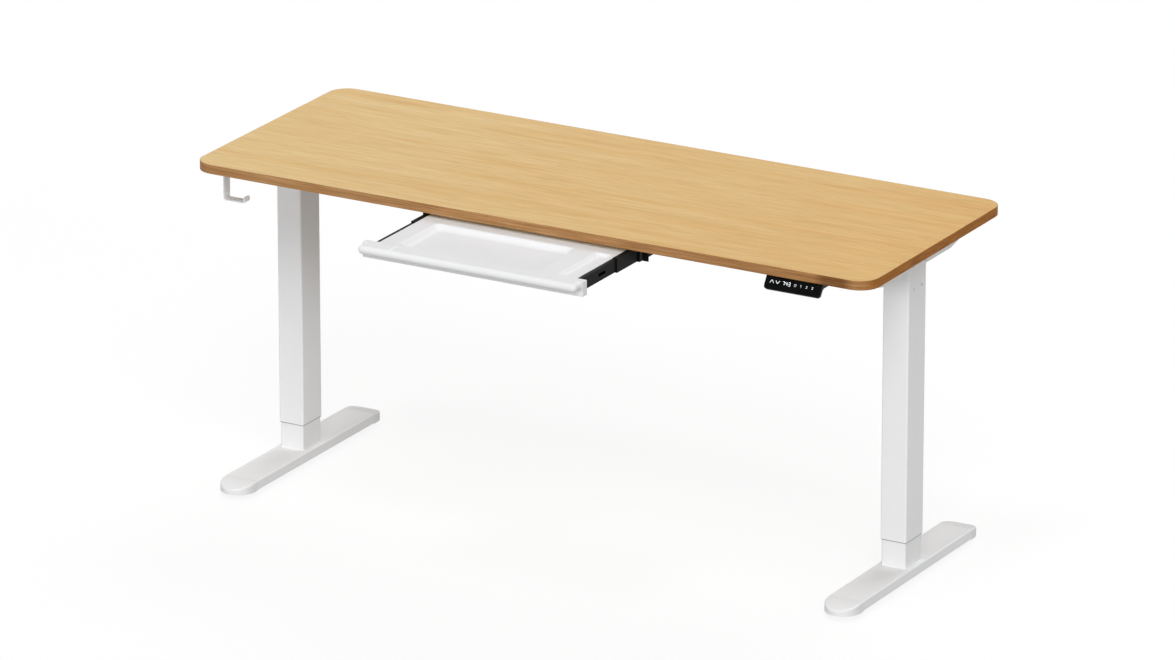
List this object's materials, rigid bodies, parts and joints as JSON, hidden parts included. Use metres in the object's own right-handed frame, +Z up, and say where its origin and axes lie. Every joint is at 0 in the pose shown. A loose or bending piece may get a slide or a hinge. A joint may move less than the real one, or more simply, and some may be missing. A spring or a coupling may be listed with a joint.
{
  "type": "height adjustable standing desk",
  "caption": "Standing desk whose wooden top rises on telescopic steel columns, with a shallow pull-out drawer on ball-bearing slides, a keypad under the front edge and a bag hook.",
  "frame": {"origin": "middle of the footprint at floor level, with the columns lowered and the drawer pulled out", "axes": "+X to the right of the person sitting at the desk, +Y away from them, +Z up"},
  "size_m": [1.6, 0.838, 0.743],
  "materials": {
    "oak_board": "satin",
    "edge_band": "satin",
    "white_steel": "satin powder coat",
    "white_plastic": "moulded",
    "guide_plastic": "moulded",
    "steel": "zinc plated",
    "nut_plastic": "moulded",
    "cast_housing": "cast",
    "black_steel": "black coated",
    "glide_rubber": "moulded",
    "black_plastic": "moulded",
    "black_gloss": "glossy"
  },
  "bodies": {
    "left_base": {"foot_left": "white_steel", "foot_bolts_left": "steel", "foot_cap_left_front": "white_plastic", "foot_cap_left_rear": "white_plastic", "inner_tube_left": "white_steel", "guide_ring_left": "guide_plastic", "spindle_nut_left": "nut_plastic"},
    "top": {"desktop": "oak_board", "edge_band": "edge_band", "side_bracket_left": "white_steel", "side_bracket_right": "white_steel", "crossbeam_middle": "white_steel", "crossbeam_left": "white_steel", "crossbeam_right": "white_steel", "frame_bolts": "steel", "gearbox_screws": "steel", "outer_tube_left": "white_steel", "outer_tube_right": "white_steel", "tube_collar_left": "guide_plastic", "tube_collar_right": "guide_plastic", "gearbox_left": "cast_housing", "gearbox_right": "cast_housing", "motor": "black_steel", "hook": "white_steel", "wood_screws": "steel", "keypad_housing": "black_plastic", "keypad_face": "black_gloss", "control_box_base": "black_plastic", "control_box_cover": "black_plastic", "power_inlet": "black_plastic", "slide_fixed_left": "black_steel", "slide_fixed_right": "black_steel", "drawer_hanger_left": "black_steel", "drawer_hanger_right": "black_steel"},
    "right_base": {"foot_right": "white_steel", "foot_bolts_right": "steel", "foot_cap_right_front": "white_plastic", "foot_cap_right_rear": "white_plastic", "inner_tube_right": "white_steel", "guide_ring_right": "guide_plastic", "spindle_nut_right": "nut_plastic"},
    "spindle_left": {"spindle_left": "steel"},
    "spindle_right": {"spindle_right": "steel"},
    "drive_shaft": {"drive_shaft": "steel"},
    "drawer": {"tray": "white_plastic", "drawer_front": "white_plastic", "slide_inner_left": "black_steel", "slide_inner_right": "black_steel"},
    "slide_middles": {"slide_middle_left": "black_steel", "slide_middle_right": "black_steel"},
    "key_up": {"key_up": "black_gloss"},
    "key_down": {"key_down": "black_gloss"},
    "key_memory": {"key_memory": "black_gloss"},
    "key_1": {"key_1": "black_gloss"},
    "key_2": {"key_2": "black_gloss"},
    "key_3": {"key_3": "black_gloss"},
    "glide_left_front": {"glide_left_front": "glide_rubber"},
    "glide_left_rear": {"glide_left_rear": "glide_rubber"},
    "glide_right_front": {"glide_right_front": "glide_rubber"},
    "glide_right_rear": {"glide_right_rear": "glide_rubber"}
  },
  "joints": [
    {"name": "lift", "type": "slide", "parent": "left_base", "child": "top", "axis": [0, 0, 1], "range_m": [0, 0.44]},
    {"name": "right_column", "type": "slide", "parent": "top", "child": "right_base", "axis": [0, 0, -1], "range_m": [0, 0.44]},
    {"name": "spindle_left_turn", "type": "hinge", "parent": "top", "child": "spindle_left", "pos_m": [-0.724, 0.119, 0.4], "axis": [0, 0, 1], "range_deg": [0, 39610]},
    {"name": "spindle_right_turn", "type": "hinge", "parent": "top", "child": "spindle_right", "pos_m": [0.724, 0.119, 0.4], "axis": [0, 0, 1], "range_deg": [0, 39610]},
    {"name": "drive_shaft_turn", "type": "hinge", "parent": "top", "child": "drive_shaft", "pos_m": [0, 0.119, 0.7], "axis": [1, 0, 0], "range_deg": [0, 39610]},
    {"name": "drawer_slide", "type": "slide", "parent": "top", "child": "drawer", "axis": [0, -1, 0], "range_m": [-0.238, 0.014]},
    {"name": "middle_member_slide", "type": "slide", "parent": "top", "child": "slide_middles", "axis": [0, -1, 0], "range_m": [-0.0885, 0.0055]},
    {"name": "key_up_press", "type": "slide", "parent": "top", "child": "key_up", "axis": [0, 0.8511, -0.525], "range_m": [0, 0.0008], "stiffness_N_per_m": 400},
    {"name": "key_down_press", "type": "slide", "parent": "top", "child": "key_down", "axis": [0, 0.8511, -0.525], "range_m": [0, 0.0008], "stiffness_N_per_m": 400},
    {"name": "key_memory_press", "type": "slide", "parent": "top", "child": "key_memory", "axis": [0, 0.8511, -0.525], "range_m": [0, 0.0008], "stiffness_N_per_m": 400},
    {"name": "key_1_press", "type": "slide", "parent": "top", "child": "key_1", "axis": [0, 0.8511, -0.525], "range_m": [0, 0.0008], "stiffness_N_per_m": 400},
    {"name": "key_2_press", "type": "slide", "parent": "top", "child": "key_2", "axis": [0, 0.8511, -0.525], "range_m": [0, 0.0008], "stiffness_N_per_m": 400},
    {"name": "key_3_press", "type": "slide", "parent": "top", "child": "key_3", "axis": [0, 0.8511, -0.525], "range_m": [0, 0.0008], "stiffness_N_per_m": 400},
    {"name": "glide_left_front_turn", "type": "hinge", "parent": "left_base", "child": "glide_left_front", "pos_m": [-0.724, -0.098, 0.02], "axis": [0, 0, 1], "continuous": true},
    {"name": "glide_left_rear_turn", "type": "hinge", "parent": "left_base", "child": "glide_left_rear", "pos_m": [-0.724, 0.336, 0.02], "axis": [0, 0, 1], "continuous": true},
    {"name": "glide_right_front_turn", "type": "hinge", "parent": "right_base", "child": "glide_right_front", "pos_m": [0.724, -0.098, 0.02], "axis": [0, 0, 1], "continuous": true},
    {"name": "glide_right_rear_turn", "type": "hinge", "parent": "right_base", "child": "glide_right_rear", "pos_m": [0.724, 0.336, 0.02], "axis": [0, 0, 1], "continuous": true}
  ],
  "couplings": [
    {"joint": "right_column", "follows": "lift", "ratio": 1},
    {"joint": "spindle_left_turn", "follows": "lift", "rad_per_m": 1570.8},
    {"joint": "spindle_right_turn", "follows": "lift", "rad_per_m": 1570.8},
    {"joint": "drive_shaft_turn", "follows": "lift", "rad_per_m": 1570.8},
    {"joint": "middle_member_slide", "follows": "drawer_slide", "ratio": 0.36975}
  ]
}
